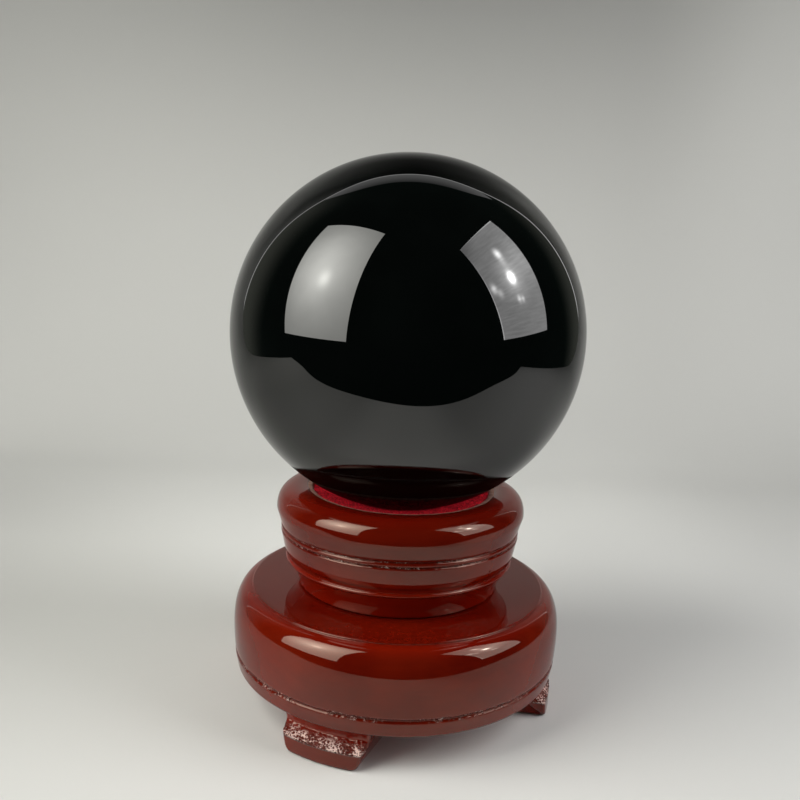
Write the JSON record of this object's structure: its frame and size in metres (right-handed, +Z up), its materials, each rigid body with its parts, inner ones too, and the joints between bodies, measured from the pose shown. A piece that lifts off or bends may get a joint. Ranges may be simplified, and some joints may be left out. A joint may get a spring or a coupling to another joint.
{
  "type": "decorative sphere on stand",
  "caption": "Polished black stone ball resting on felt in a two-tier turned and lacquered wooden stand with carved feet.",
  "frame": {"origin": "on the ground in the middle of the stand, under the centre of the ball", "axes": "+Z up through the stand and the ball, -Y towards the front as pictured, +X to the right"},
  "size_m": [0.1, 0.1, 0.1577],
  "materials": {
    "polished_obsidian": "mirror polished",
    "lacquered_wood": "gloss lacquer",
    "red_felt": "flocked felt"
  },
  "bodies": {
    "root": {"ball": "polished_obsidian", "seat_felt": "red_felt", "cup": "lacquered_wood", "base": "lacquered_wood"}
  },
  "joints": []
}
